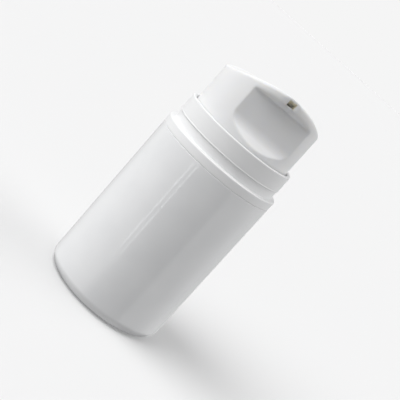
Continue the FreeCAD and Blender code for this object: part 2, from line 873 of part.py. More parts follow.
def make_follower_piston():
    """Cup with two wiping lips and a well that clears the pump housing."""
    bottom = floor_top + dim.follower_floor_gap
    top = bottom + dim.follower_height
    lip_radius = bore_radius - dim.running_gap
    waist = lip_radius - dim.follower_waist
    skirt_inner = waist - dim.follower_wall
    deck_top = top - dim.follower_rim
    deck_bottom = deck_top - dim.follower_wall
    well_inner = housing_radius + dim.follower_well_gap
    well_outer = well_inner + dim.follower_wall
    well_bottom = bottom + dim.follower_well_rise
    low_lip = bottom + dim.follower_lip_height
    high_lip = top - dim.follower_lip_height
    return turned("follower_piston", [
        corner(ZERO, well_bottom),
        corner(well_outer, well_bottom),
        corner(well_outer, deck_bottom),
        corner(skirt_inner, deck_bottom),
        corner(skirt_inner, bottom),
        corner(lip_radius, bottom),
        corner(lip_radius, low_lip),
        corner(waist, low_lip + dim.lip_slope),
        corner(waist, high_lip - dim.lip_slope),
        corner(lip_radius, high_lip),
        corner(lip_radius, top),
        corner(waist, top),
        corner(waist, deck_top),
        corner(well_inner, deck_top),
        corner(well_inner, well_bottom + dim.follower_wall),
        corner(ZERO, well_bottom + dim.follower_wall),
    ])


def check_and_write(pieces):
    """Stops on any failed object or bad solid, then writes one file per piece."""
    for item in doc.Objects:
        if "Invalid" in item.State or "Error" in item.State:
            raise RuntimeError(f"{item.Name} failed: {item.State}")
    for piece in pieces:
        shape = piece.Shape
        if shape.isNull() or not shape.isValid() or len(shape.Solids) != 1:
            raise RuntimeError(f"{piece.Label} is not one sound solid")
    os.makedirs("parts", exist_ok=True)
    for piece in pieces:
        piece.Shape.exportStep(f"parts/{piece.Label}.step")
        box = piece.Shape.optimalBoundingBox()
        print(
            f"{piece.Label}: {piece.Shape.Volume:.1f} mm3,"
            f" z {box.ZMin:.2f} to {box.ZMax:.2f}, width {box.XLength:.2f}"
        )


def main():
    makers = (
        make_bottle_body,
        make_mouth_gasket,
        make_closure_collar,
        make_pump_housing,
        make_housing_gasket,
        make_housing_cap,
        make_stem_seal,
        make_stem,
        make_piston_seat,
        make_pump_piston,
        make_inlet_ball,
        make_valve_cage,
        make_return_spring,
        make_actuator_shell,
        make_spout_core,
        make_follower_piston,
    )
    pieces = [make() for make in makers]
    doc.recompute()
    check_and_write(pieces)


main()
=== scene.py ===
# %% [markdown]
# # An airless pump bottle
# The bottle stands upright on a pale floor, and the camera leans instead of the bottle.
# Every solid comes from the imported model, so a piece made here only has to follow sizes that are
# already known. The first cell loads that model.

# %% Load the fixed frame
import math

import bpy
from mathutils import Matrix, Vector


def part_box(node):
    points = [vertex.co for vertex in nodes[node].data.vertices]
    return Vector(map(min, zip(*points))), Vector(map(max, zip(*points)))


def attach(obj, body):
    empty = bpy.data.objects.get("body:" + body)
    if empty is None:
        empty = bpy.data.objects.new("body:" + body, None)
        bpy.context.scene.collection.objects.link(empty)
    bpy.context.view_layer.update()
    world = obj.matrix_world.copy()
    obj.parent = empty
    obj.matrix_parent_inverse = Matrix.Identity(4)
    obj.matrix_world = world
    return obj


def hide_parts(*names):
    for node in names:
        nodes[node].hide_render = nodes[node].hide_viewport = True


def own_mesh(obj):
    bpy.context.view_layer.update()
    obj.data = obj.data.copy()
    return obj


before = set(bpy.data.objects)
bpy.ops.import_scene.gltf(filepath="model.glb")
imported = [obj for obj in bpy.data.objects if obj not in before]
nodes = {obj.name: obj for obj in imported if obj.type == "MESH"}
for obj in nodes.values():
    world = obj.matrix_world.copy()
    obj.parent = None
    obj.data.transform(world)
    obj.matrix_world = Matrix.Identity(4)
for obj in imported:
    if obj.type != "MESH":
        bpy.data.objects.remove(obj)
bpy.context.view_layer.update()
scene = bpy.context.scene
MM = 0.001
print("pieces in the frame:", len(nodes))

# %% [markdown]
# ## Camera
# The bottle was photographed leaning to the upper right. A bottle that stands on a floor cannot
# lean, so the camera is rolled by the same angle. Its place and directions come from fitting the
# outlines of the rims and the ring to the picture. A 90 mm lens keeps the sides nearly parallel.

# %% Place the rolled camera
CAMERA_PLACE = Vector((-0.1091, -0.3746, 0.1344))
LOOK = Vector((0.2849, 0.9383, -0.1962)).normalized()
UP = Vector((-0.5942, 0.3334, 0.7320))
LENS_MM = 90.0
SENSOR_MM = 36.0
NEAREST = 0.005

side = LOOK.cross(UP).normalized()
upright = side.cross(LOOK)
camera_data = bpy.data.cameras.new("photo_camera")
camera_data.lens = LENS_MM
camera_data.sensor_width = SENSOR_MM
camera_data.clip_start = NEAREST
camera = bpy.data.objects.new("photo_camera", camera_data)
turn = Matrix((side, upright, -LOOK)).transposed().to_4x4()
camera.matrix_world = Matrix.Translation(CAMERA_PLACE) @ turn
scene.collection.objects.link(camera)
scene.camera = camera
print("camera height over the floor:", round(CAMERA_PLACE.z, 3), "m")

# %% [markdown]
# ## Floor
# A plain pale disc, far wider than the view, so that its edge never shows. It does not appear in
# reflections: the glossy wall then mirrors the soft studio all round it, as a bottle held up in a
# room does.

# %% Lay the floor
FLOOR_RADIUS = 40.0
FLOOR_STEPS = 96
FLOOR_TINT = (0.799, 0.799, 0.801, 1.0)
FLOOR_ROUGHNESS = 0.95

floor_mesh = bpy.data.meshes.new("floor")
angles = [step * math.tau / FLOOR_STEPS for step in range(FLOOR_STEPS)]
rim = [(FLOOR_RADIUS * math.cos(angle), FLOOR_RADIUS * math.sin(angle), 0.0) for angle in angles]
floor_mesh.from_pydata(rim, [], [list(range(FLOOR_STEPS))])
floor = bpy.data.objects.new("floor", floor_mesh)
scene.collection.objects.link(floor)
floor.visible_glossy = False
floor.visible_diffuse = False
floor.visible_shadow = False
paper = bpy.data.materials.new("floor_paper")
paper.use_nodes = True
paper_shader = paper.node_tree.nodes["Principled BSDF"]
paper_shader.inputs["Base Color"].default_value = FLOOR_TINT
paper_shader.inputs["Roughness"].default_value = FLOOR_ROUGHNESS
paper_shader.inputs["Specular IOR Level"].default_value = 0.0
floor_mesh.materials.append(paper)
print("floor radius:", FLOOR_RADIUS, "m")

# %% [markdown]
# ## Soft studio light
# All light comes from the surroundings, which are painted by direction in the world's node tree.
# Light from so far away falls evenly on the floor, so the floor stays plain. Lamp objects would
# leave a bright pool on it.

# %% Helpers for the light's node tree
def add_math(tree, operation, first, second=None):
    """A math node whose inputs are sockets or numbers."""
    node = tree.nodes.new("ShaderNodeMath")
    node.operation = operation
    for socket, value in zip(node.inputs, (first, second)):
        if value is None:
            continue
        if isinstance(value, (int, float)):
            socket.default_value = value
        else:
            tree.links.new(value, socket)
    return node.outputs[0]


def ease(tree, value, low, high, at_low=0.0, at_high=1.0):
    """Goes smoothly from one number to another while a value goes from low to high."""
    node = tree.nodes.new("ShaderNodeMapRange")
    node.interpolation_type = "SMOOTHSTEP"
    tree.links.new(value, node.inputs["Value"])
    node.inputs["From Min"].default_value = low
    node.inputs["From Max"].default_value = high
    node.inputs["To Min"].default_value = at_low
    node.inputs["To Max"].default_value = at_high
    return node.outputs["Result"]


def along(tree, vector, direction):
    """How far a direction points along another one."""
    node = tree.nodes.new("ShaderNodeVectorMath")
    node.operation = "DOT_PRODUCT"
    tree.links.new(vector, node.inputs[0])
    node.inputs[1].default_value = direction
    return node.outputs["Value"]


# %% Where the lights stand
LAMP_BEARING = math.radians(-65.0)
LAMP_HEIGHT = math.radians(46.0)
FILL_BEARING = math.radians(108.0)
FILL_HEIGHT = math.radians(38.0)
BOUNCE_BEARING = math.radians(-50.0)
BOUNCE_HEIGHT = math.radians(-62.0)

ahead = Vector((LOOK.x, LOOK.y, 0.0)).normalized()
towards = -ahead
rightwards = Vector((ahead.y, -ahead.x, 0.0))


def aim(bearing, height):
    """A direction by its bearing from the camera, to the right, and its height over the floor."""
    level = towards * math.cos(bearing) + rightwards * math.sin(bearing)
    return level * math.cos(height) + Vector((0.0, 0.0, math.sin(height)))


lamp_axis = aim(LAMP_BEARING, LAMP_HEIGHT)
fill_axis = aim(FILL_BEARING, FILL_HEIGHT)
bounce_axis = aim(BOUNCE_BEARING, BOUNCE_HEIGHT)
print("lamp points from:", [round(c, 2) for c in lamp_axis])

# %% [markdown]
# The upper half lights the shapes. One wide soft lamp stands high on the left, a weaker one fills
# from the right, and a dim room with a slightly lighter back wall keeps the shadows open. Each lamp
# fades from its core to its edge, so that it leaves no hard outline in the gloss.

# %% Light from above
LAMP_STRENGTH = 3.5
LAMP_EDGE = math.cos(math.radians(38.0))
LAMP_CORE = math.cos(math.radians(14.0))
FILL_STRENGTH = 1.3
FILL_EDGE = math.cos(math.radians(40.0))
FILL_CORE = math.cos(math.radians(15.0))
ROOM_STRENGTH = 0.34
BACK_STRENGTH = 0.22
BACK_EDGE = 0.35
BACK_CORE = 0.75

world = bpy.data.worlds.new("soft_studio")
world.use_nodes = True
scene.world = world
tree = world.node_tree
tree.nodes.clear()
direction = tree.nodes.new("ShaderNodeTexCoord").outputs["Generated"]
height = along(tree, direction, (0.0, 0.0, 1.0))
near_lamp = along(tree, direction, lamp_axis)
lamp = ease(tree, near_lamp, LAMP_EDGE, LAMP_CORE, ROOM_STRENGTH, ROOM_STRENGTH + LAMP_STRENGTH)
near_fill = along(tree, direction, fill_axis)
fill = ease(tree, near_fill, FILL_EDGE, FILL_CORE, 0.0, FILL_STRENGTH)
behind = ease(tree, along(tree, direction, ahead), BACK_EDGE, BACK_CORE, 0.0, BACK_STRENGTH)
upper = add_math(tree, "ADD", add_math(tree, "ADD", lamp, fill), behind)
print("nodes that light from above:", len(tree.nodes))

# %% [markdown]
# The camera looks slightly down, so the upright wall of the bottle mirrors what lies a little below
# the horizon. Low pale walls on the left and right leave a dim gap behind the camera, which gives
# the bottle its soft grey core. The weak light from straight below stands for what a pale floor
# sends up, and keeps the rounding at the foot from going dark.

# %% Light from the low walls and the floor
LEFT_WALL = 0.8
LEFT_WALL_END = (math.radians(-31.0), math.radians(-17.0))
RIGHT_WALL = 1.0
RIGHT_WALL_END = (math.radians(50.0), math.radians(57.0))
FAR_WALL_START = (math.radians(118.0), math.radians(150.0))
FAR_WALL_SHARE = 0.6
WALL_FOOT = (-0.5, -0.4)
GAP_STRENGTH = 0.09
BOUNCE_STRENGTH = 0.19
BOUNCE_EDGE = 0.45
BOUNCE_CORE = 0.8
UNDER_STRENGTH = 0.6
UNDER_EDGE = -0.75
UNDER_CORE = -0.92

bearing = add_math(tree, "ARCTAN2", along(tree, direction, rightwards), along(tree, direction, towards))
left_wall = ease(tree, bearing, *LEFT_WALL_END, LEFT_WALL, 0.0)
right_wall = ease(tree, bearing, *RIGHT_WALL_END, 0.0, RIGHT_WALL)
both_walls = add_math(tree, "ADD", left_wall, right_wall)
reach = ease(tree, add_math(tree, "ABSOLUTE", bearing), *FAR_WALL_START, 1.0, FAR_WALL_SHARE)
faded_walls = add_math(tree, "MULTIPLY", both_walls, reach)
walls = add_math(tree, "MULTIPLY", faded_walls, ease(tree, height, *WALL_FOOT))
near_bounce = along(tree, direction, bounce_axis)
bounce = ease(tree, near_bounce, BOUNCE_EDGE, BOUNCE_CORE, GAP_STRENGTH, BOUNCE_STRENGTH)
under = ease(tree, height, UNDER_EDGE, UNDER_CORE, 0.0, UNDER_STRENGTH)
lower = add_math(tree, "ADD", add_math(tree, "ADD", walls, bounce), under)
print("nodes with the low walls:", len(tree.nodes))

# %% [markdown]
# A glossy round wall squeezes a lamp into a thin upright line. The double streak on the bottle is
# made that way, by two slim lamps that stand in the gap, each given by its bearing and half width.

# %% Two slim lamps for the streaks
STREAKS = ((-29.0, 1.2), (-20.5, 1.3))
STREAK_STRENGTH = 4.4
STREAK_CORE = 0.5
STREAK_FOOT = (-0.33, -0.25)

for middle, half in STREAKS:
    offset = add_math(tree, "ABSOLUTE", add_math(tree, "SUBTRACT", bearing, math.radians(middle)))
    slim = ease(tree, offset, math.radians(half * STREAK_CORE), math.radians(half), STREAK_STRENGTH, 0.0)
    shown = add_math(tree, "MULTIPLY", slim, ease(tree, height, *STREAK_FOOT))
    lower = add_math(tree, "ADD", lower, shown)
print("slim lamps:", len(STREAKS))

# %% Join the halves and keep the backdrop plain
HORIZON = (-0.02, -0.08)
PALE = 0.913

below = ease(tree, height, *HORIZON)
above = add_math(tree, "SUBTRACT", 1.0, below)
from_above = add_math(tree, "MULTIPLY", upper, above)
from_below = add_math(tree, "MULTIPLY", lower, below)
total = add_math(tree, "ADD", from_above, from_below)
studio = tree.nodes.new("ShaderNodeBackground")
studio.inputs["Color"].default_value = (1.0, 1.0, 1.0, 1.0)
tree.links.new(total, studio.inputs["Strength"])
plain = tree.nodes.new("ShaderNodeBackground")
plain.inputs["Color"].default_value = (PALE, PALE, PALE, 1.0)
seen = tree.nodes.new("ShaderNodeLightPath").outputs["Is Camera Ray"]
either = tree.nodes.new("ShaderNodeMixShader")
tree.links.new(seen, either.inputs["Fac"])
tree.links.new(studio.outputs[0], either.inputs[1])
tree.links.new(plain.outputs[0], either.inputs[2])
tree.links.new(either.outputs[0], tree.nodes.new("ShaderNodeOutputWorld").inputs["Surface"])
scene.view_settings.view_transform = "Standard"
print("nodes in the studio:", len(tree.nodes))

# %% [markdown]
# ## Moulded plastic
# The outside is white injection-moulded plastic. A plain white would look like paper, so three
# faint things are laid over it: clouds in the tint, polishing lines drawn along the mould's axis,
# which change the gloss, and the slight ripple that every moulded wall has.

# %% Helpers for finishes
NOISE_LOW = 0.3
NOISE_HIGH = 0.7


def start_finish(name):
    """A new material with its tree and its shader."""
    material = bpy.data.materials.new(name)
    material.use_nodes = True
    print("finish:", name)
    return material, material.node_tree, material.node_tree.nodes["Principled BSDF"]


def own_place(tree):
    """Where a point lies, in the piece's own coordinates."""
    return tree.nodes.new("ShaderNodeTexCoord").outputs["Object"]


def add_noise(tree, place, scale, stretch=(1.0, 1.0, 1.0), detail=2.0):
    """Noise on the given coordinates; scale is in bumps to one unit of them."""
    mapping = tree.nodes.new("ShaderNodeMapping")
    mapping.inputs["Scale"].default_value = stretch
    tree.links.new(place, mapping.inputs["Vector"])
    noise = tree.nodes.new("ShaderNodeTexNoise")
    noise.inputs["Scale"].default_value = scale
    noise.inputs["Detail"].default_value = detail
    tree.links.new(mapping.outputs["Vector"], noise.inputs["Vector"])
    return noise.outputs["Fac"]


def add_tint(tree, shader, noise, dark, light):
    """A colour that goes from dark to light with a noise."""
    ramp = tree.nodes.new("ShaderNodeValToRGB")
    ramp.color_ramp.elements[0].position = NOISE_LOW
    ramp.color_ramp.elements[0].color = (*dark, 1.0)
    ramp.color_ramp.elements[1].position = NOISE_HIGH
    ramp.color_ramp.elements[1].color = (*light, 1.0)
    tree.links.new(noise, ramp.inputs["Fac"])
    tree.links.new(ramp.outputs["Color"], shader.inputs["Base Color"])


def add_gloss(tree, shader, noise, smoothest, roughest):
    """A roughness that goes between two values with a noise."""
    roughness = ease(tree, noise, NOISE_LOW, NOISE_HIGH, smoothest, roughest)
    tree.links.new(roughness, shader.inputs["Roughness"])


def add_bump(tree, shader, height, strength, depth):
    """A bump in the shading, as deep as given in metres."""
    bump = tree.nodes.new("ShaderNodeBump")
    bump.inputs["Strength"].default_value = strength
    bump.inputs["Distance"].default_value = depth
    tree.links.new(height, bump.inputs["Height"])
    tree.links.new(bump.outputs["Normal"], shader.inputs["Normal"])


def let_light_in(shader, share, tint, depth):
    """Let a share of the light enter the plastic and come out again close by."""
    shader.inputs["Subsurface Weight"].default_value = share
    shader.inputs["Subsurface Radius"].default_value = tint
    shader.inputs["Subsurface Scale"].default_value = depth


# %% Finishes of the outside
CLOUD_SCALE = 70.0
POLISH_SCALE = 1500.0
POLISH_STRETCH = (1.0, 1.0, 0.02)
POLISH_DETAIL = 3.0
RIPPLE_DEPTH = 0.04 * MM
PLASTIC_IOR = 1.49


def moulded_plastic(name, dark, light, gloss, ripple_scale, ripple_strength):
    """Moulded plastic: clouded tint, polishing lines along Z in the gloss, and a faint ripple."""
    material, tree, shader = start_finish(name)
    place = own_place(tree)
    add_tint(tree, shader, add_noise(tree, place, CLOUD_SCALE), dark, light)
    lines = add_noise(tree, place, POLISH_SCALE, POLISH_STRETCH, POLISH_DETAIL)
    add_gloss(tree, shader, lines, *gloss)
    add_bump(tree, shader, add_noise(tree, place, ripple_scale), ripple_strength, RIPPLE_DEPTH)
    shader.inputs["IOR"].default_value = PLASTIC_IOR
    return material


bottle_white = moulded_plastic(
    "bottle_white", dark=(0.815, 0.822, 0.832), light=(0.850, 0.856, 0.864),
    gloss=(0.07, 0.11), ripple_scale=420.0, ripple_strength=0.05,
)
collar_white = moulded_plastic(
    "collar_white", dark=(0.872, 0.876, 0.882), light=(0.898, 0.902, 0.906),
    gloss=(0.40, 0.48), ripple_scale=900.0, ripple_strength=0.06,
)
head_white = moulded_plastic(
    "head_white", dark=(0.868, 0.872, 0.879), light=(0.896, 0.899, 0.905),
    gloss=(0.40, 0.48), ripple_scale=900.0, ripple_strength=0.06,
)

# %% [markdown]
# ## Nozzle throat
# The inside of the nozzle gets a warm brownish tint, about as pale as the head's white. The head
# keeps one finish for the whole piece, so the tint is laid on by position: only points inside the
# slanted port get it. The head's walls are thin, so some light also enters them and comes out again.

# %% Tint the nozzle throat
PORT_HALF_WIDTH = 1.78 * MM
PORT_HALF_HEIGHT = 1.25 * MM
PORT_FRONT = -22.35 * MM
PORT_BACK = -5.0 * MM
PORT_SLOPE = -0.4656
PORT_AXIS_HEIGHT = 99.6 * MM
# A warm brownish tint for the points inside the port, about as pale as the head's white.
THROAT_TINT = (0.90, 0.87, 0.77)


def split_place(tree):
    """Where a point lies on its piece, as three sockets: X, Y and Z."""
    apart = tree.nodes.new("ShaderNodeSeparateXYZ")
    tree.links.new(own_place(tree), apart.inputs["Vector"])
    return apart.outputs["X"], apart.outputs["Y"], apart.outputs["Z"]


def tint_throat(material, throat_hue):
    """Tint the points of the head that lie inside the slanted port."""
    tree = material.node_tree
    shader = tree.nodes["Principled BSDF"]
    clean = shader.inputs["Base Color"].links[0].from_socket
    x, y, z = split_place(tree)
    axis_height = add_math(tree, "ADD", add_math(tree, "MULTIPLY", y, PORT_SLOPE), PORT_AXIS_HEIGHT)
    off_axis = add_math(tree, "ABSOLUTE", add_math(tree, "SUBTRACT", z, axis_height))
    in_width = add_math(tree, "LESS_THAN", add_math(tree, "ABSOLUTE", x), PORT_HALF_WIDTH)
    in_height = add_math(tree, "LESS_THAN", off_axis, PORT_HALF_HEIGHT)
    within = add_math(tree, "MULTIPLY", in_width, in_height)
    behind_front = add_math(tree, "GREATER_THAN", y, PORT_FRONT)
    before_back = add_math(tree, "LESS_THAN", y, PORT_BACK)
    inside = add_math(tree, "MULTIPLY", within, add_math(tree, "MULTIPLY", behind_front, before_back))
    both = tree.nodes.new("ShaderNodeMix")
    both.data_type = "RGBA"
    tree.links.new(inside, both.inputs["Factor"])
    tree.links.new(clean, both.inputs["A"])
    both.inputs["B"].default_value = (*throat_hue, 1.0)
    tree.links.new(both.outputs["Result"], shader.inputs["Base Color"])
    print("throat stained in:", material.name)


tint_throat(head_white, THROAT_TINT)

# %% Let light into the head
HEAD_GLOW = 0.5
HEAD_GLOW_TINT = (1.0, 0.95, 0.85)
HEAD_GLOW_DEPTH = 1.5 * MM

head_shader = head_white.node_tree.nodes["Principled BSDF"]
let_light_in(head_shader, HEAD_GLOW, HEAD_GLOW_TINT, HEAD_GLOW_DEPTH)
print("light enters the head to about", round(HEAD_GLOW_DEPTH / MM, 2), "mm")

# %% [markdown]
# ## Soft edges of the head
# A moulded head has no knife edges, and the lip of its brow is rounder than the rest. The solid
# keeps a small rounding there. A bevel node turns the surface's shading near an edge, by a radius
# that grows towards the brow, so the light rolls over it without another shape.

# %% Round the light over the head's edges
EDGE_RADIUS = 1.0 * MM
BROW_RADIUS = 2.0 * MM
BROW_HEIGHT = (104.0 * MM, 105.5 * MM)
BROW_FRONT = (-15.0 * MM, -18.0 * MM)
ROLL_SAMPLES = 6


def soften_edges(material):
    """Let the shading roll over edges, most of all at the brow above the recess."""
    tree = material.node_tree
    shader = tree.nodes["Principled BSDF"]
    _, y, z = split_place(tree)
    at_brow = add_math(tree, "MULTIPLY", ease(tree, z, *BROW_HEIGHT), ease(tree, y, *BROW_FRONT))
    growth = add_math(tree, "MULTIPLY", at_brow, BROW_RADIUS - EDGE_RADIUS)
    roll = tree.nodes.new("ShaderNodeBevel")
    roll.samples = ROLL_SAMPLES
    tree.links.new(add_math(tree, "ADD", growth, EDGE_RADIUS), roll.inputs["Radius"])
    bump = shader.inputs["Normal"].links[0].from_node
    tree.links.new(roll.outputs["Normal"], bump.inputs["Normal"])
    print("edges softened in:", material.name)


soften_edges(head_white)

# %% [markdown]
# ## Inner finishes
# The pump inside is made of plainer stuff: natural plastic that lets a little light in, a waxy
# softer plastic for the wiping pistons, grey rubber for the seals, drawn steel wire and a lapped
# steel ball. Each gets the mark of how it is made, because the head can be lifted off in a scene.

# %% Natural plastic of the pump
MILKY_SCALE = 160.0
GRAIN_SCALE = 2600.0
GRAIN_STRENGTH = 0.08
GRAIN_DEPTH = 0.03 * MM
MILKY_GLOW = 0.2
MILKY_GLOW_TINT = (1.0, 1.0, 0.9)


def soft_plastic(name, dark, light, gloss, glow_depth):
    """Unpainted plastic that light enters a little."""
    material, tree, shader = start_finish(name)
    place = own_place(tree)
    add_tint(tree, shader, add_noise(tree, place, MILKY_SCALE), dark, light)
    grain = add_noise(tree, place, GRAIN_SCALE)
    add_gloss(tree, shader, grain, *gloss)
    add_bump(tree, shader, grain, GRAIN_STRENGTH, GRAIN_DEPTH)
    let_light_in(shader, MILKY_GLOW, MILKY_GLOW_TINT, glow_depth)
    return material


pump_plastic = soft_plastic(
    "pump_plastic", dark=(0.76, 0.76, 0.73), light=(0.82, 0.82, 0.79),
    gloss=(0.34, 0.44), glow_depth=1.2 * MM,
)
piston_plastic = soft_plastic(
    "piston_plastic", dark=(0.78, 0.79, 0.79), light=(0.84, 0.85, 0.85),
    gloss=(0.42, 0.55), glow_depth=1.8 * MM,
)

# %% Rubber of the seals
SPECK_SCALE = 3500.0
SPECK_DETAIL = 4.0
PIT_STRENGTH = 0.15
PIT_DEPTH = 0.03 * MM


def seal_stock(name, dark, light, gloss):
    """Rubber with pale specks of filler and a dull, slightly pitted skin."""
    material, tree, shader = start_finish(name)
    specks = add_noise(tree, own_place(tree), SPECK_SCALE, detail=SPECK_DETAIL)
    add_tint(tree, shader, specks, dark, light)
    add_gloss(tree, shader, specks, *gloss)
    add_bump(tree, shader, specks, PIT_STRENGTH, PIT_DEPTH)
    return material


seal_rubber = seal_stock(
    "seal_rubber", dark=(0.46, 0.46, 0.46), light=(0.60, 0.60, 0.59), gloss=(0.55, 0.75),
)

# %% Steel of the ball and the spring
SWIRL_SCALE = 1800.0
SWIRL_STRETCH = (1.0, 0.25, 1.0)
SWIRL_DETAIL = 4.0
SCRATCH_SCALE = 24.0
SCRATCH_DETAIL = 3.0
SCRATCH_STRENGTH = 0.1
SCRATCH_DEPTH = 0.01 * MM


def lapped_steel(name, dark, light, gloss):
    """Polished steel with the faint swirl that lapping leaves."""
    material, tree, shader = start_finish(name)
    swirl = add_noise(tree, own_place(tree), SWIRL_SCALE, SWIRL_STRETCH, SWIRL_DETAIL)
    add_tint(tree, shader, swirl, dark, light)
    add_gloss(tree, shader, swirl, *gloss)
    shader.inputs["Metallic"].default_value = 1.0
    return material


def drawn_wire(name, dark, light, gloss):
    """Steel wire whose scratches run along it: the noise reads how far round the wire a point is."""
    material, tree, shader = start_finish(name)
    around = tree.nodes.new("ShaderNodeAttribute")
    around.attribute_name = "around"
    scratches = add_noise(tree, around.outputs["Vector"], SCRATCH_SCALE, detail=SCRATCH_DETAIL)
    add_tint(tree, shader, scratches, dark, light)
    add_gloss(tree, shader, scratches, *gloss)
    add_bump(tree, shader, scratches, SCRATCH_STRENGTH, SCRATCH_DEPTH)
    shader.inputs["Metallic"].default_value = 1.0
    return material


ball_steel = lapped_steel(
    "ball_steel", dark=(0.66, 0.66, 0.67), light=(0.76, 0.76, 0.77), gloss=(0.05, 0.14),
)
spring_steel = drawn_wire(
    "spring_steel", dark=(0.50, 0.50, 0.51), light=(0.68, 0.68, 0.69), gloss=(0.22, 0.42),
)

# %% [markdown]
# ## Turned pieces
# The bottle and its collar are round all the way, so one rule makes both: an outline of radius and
# height, its corners rounded, turned once about the axis. Geometry Nodes do that with a curve that
# is swept round a circle, and the roundings stay numbers that can be changed later. A mesh drawn by
# hand would need each rounding made again.

# %% Helpers that build a tree
def start_tree(name, inputs):
    """A geometry tree with named inputs; gives the tree and its input and output nodes."""
    tree = bpy.data.node_groups.new(name, "GeometryNodeTree")
    tree.interface.new_socket("Geometry", in_out="INPUT", socket_type="NodeSocketGeometry")
    for label, kind in inputs:
        tree.interface.new_socket(label, in_out="INPUT", socket_type=kind)
    tree.interface.new_socket("Geometry", in_out="OUTPUT", socket_type="NodeSocketGeometry")
    return tree, tree.nodes.new("NodeGroupInput"), tree.nodes.new("NodeGroupOutput")


def add_node(tree, kind, links=(), **settings):
    """A node with its settings and its inputs, which are sockets or plain values."""
    node = tree.nodes.new(kind)
    for label, value in settings.items():
        setattr(node, label, value)
    for label, value in dict(links).items():
        socket = node.inputs[label]
        if isinstance(value, bpy.types.NodeSocket):
            tree.links.new(value, socket)
        else:
            socket.default_value = value
    return node


def end_tree(tree, geometry, given, result):
    """End a tree: make its instances real, set the finish and hand the geometry out."""
    whole = add_node(tree, "GeometryNodeRealizeInstances", {"Geometry": geometry})
    dressed = add_node(tree, "GeometryNodeSetMaterial", {
        "Geometry": whole.outputs["Geometry"], "Material": given.outputs["Finish"],
    })
    tree.links.new(dressed.outputs["Geometry"], result.inputs["Geometry"])
    print("tree:", tree.name, "with", len(tree.nodes), "nodes")


# %% The tree that turns an outline
turned_tree, given, result = start_tree("turned_piece", [
    ("Steps Round", "NodeSocketInt"), ("Steps per Corner", "NodeSocketInt"),
    ("Guide Radius", "NodeSocketFloat"), ("Finish", "NodeSocketMaterial"),
])
rounding = add_node(turned_tree, "GeometryNodeInputNamedAttribute", {"Name": "rounding"}, data_type="FLOAT")
outline = add_node(turned_tree, "GeometryNodeMeshToCurve", {"Mesh": given.outputs["Geometry"]})
corners = add_node(turned_tree, "GeometryNodeFilletCurve", {
    "Curve": outline.outputs["Curve"], "Count": given.outputs["Steps per Corner"],
    "Radius": rounding.outputs["Attribute"], "Limit Radius": True,
}, mode="POLY")
circle = add_node(turned_tree, "GeometryNodeCurvePrimitiveCircle", {
    "Resolution": given.outputs["Steps Round"], "Radius": given.outputs["Guide Radius"],
})
level = add_node(turned_tree, "GeometryNodeSetCurveNormal", {
    "Curve": circle.outputs["Curve"],
}, mode="Z_UP")
swept = add_node(turned_tree, "GeometryNodeCurveToMesh", {
    "Curve": level.outputs["Curve"], "Profile Curve": corners.outputs["Curve"],
})
end_tree(turned_tree, swept.outputs["Mesh"], given, result)

# %% Helpers that run a tree and keep its mesh
GUIDE_RADIUS = 0.020
STEPS_ROUND = 192
STEPS_PER_CORNER = 8
CRISP_ANGLE = 32.0


def grow(piece, tree, settings):
    """Run a tree on a piece, keep what it made as a plain mesh, and take the modifier off."""
    modifier = piece.modifiers.new("grow", "NODES")
    modifier.node_group = tree
    for item in tree.interface.items_tree:
        if item.in_out == "INPUT" and item.name in settings:
            modifier[item.identifier] = settings[item.name]
    graph = bpy.context.evaluated_depsgraph_get()
    grown = bpy.data.meshes.new_from_object(piece.evaluated_get(graph))
    piece.modifiers.remove(modifier)
    piece.data = grown


def soften(piece, crisp_angle=CRISP_ANGLE):
    """Smooth shading with crisp edges, weighted so that flat and straight walls stay flat."""
    mesh = piece.data
    mesh.polygons.foreach_set("use_smooth", [True] * len(mesh.polygons))
    mesh.set_sharp_from_angle(angle=math.radians(crisp_angle))
    weighted = piece.modifiers.new("weighted", "WEIGHTED_NORMAL")
    weighted.keep_sharp = True


def turn_outline(name, outline_mm, finish):
    """A piece turned from an outline of (radius, height, rounding) in millimetres."""
    points = [(radius * MM - GUIDE_RADIUS, -height * MM, 0.0) for radius, height, _ in outline_mm]
    edges = [(step, (step + 1) % len(points)) for step in range(len(points))]
    mesh = bpy.data.meshes.new(name)
    mesh.from_pydata(points, edges, [])
    roundings = mesh.attributes.new("rounding", "FLOAT", "POINT")
    roundings.data.foreach_set("value", [rounding * MM for _, _, rounding in outline_mm])
    piece = bpy.data.objects.new(name, mesh)
    scene.collection.objects.link(piece)
    grow(piece, turned_tree, {
        "Steps Round": STEPS_ROUND, "Steps per Corner": STEPS_PER_CORNER,
        "Guide Radius": GUIDE_RADIUS, "Finish": finish,
    })
    print(name, "turned:", len(piece.data.polygons), "faces")
    return piece


# %% [markdown]
# ## Bottle
# A straight glossy wall, one rounding at the foot and a stepped mouth. Bottles like this are
# injection moulded in one shot. The vent in the middle of the floor lets air in under the follower,
# and four notches keep that air path open when the bottle stands on a table.

# %% The tree that cuts the foot notches
notch_tree, given, result = start_tree("foot_notches", [
    ("Count", "NodeSocketInt"), ("Size", "NodeSocketVector"), ("Middle Radius", "NodeSocketFloat"),
    ("Finish", "NodeSocketMaterial"),
])
order = add_node(notch_tree, "GeometryNodeInputIndex").outputs["Index"]
share = add_math(notch_tree, "DIVIDE", math.tau, given.outputs["Count"])
angle = add_math(notch_tree, "MULTIPLY", order, share)
ring = given.outputs["Middle Radius"]
spot = add_node(notch_tree, "ShaderNodeCombineXYZ", {
    "X": add_math(notch_tree, "MULTIPLY", add_math(notch_tree, "COSINE", angle), ring),
    "Y": add_math(notch_tree, "MULTIPLY", add_math(notch_tree, "SINE", angle), ring),
})
spots = add_node(notch_tree, "GeometryNodePoints", {
    "Count": given.outputs["Count"], "Position": spot.outputs["Vector"],
})
block = add_node(notch_tree, "GeometryNodeMeshCube", {"Size": given.outputs["Size"]})
facing = add_node(notch_tree, "ShaderNodeCombineXYZ", {"Z": angle})
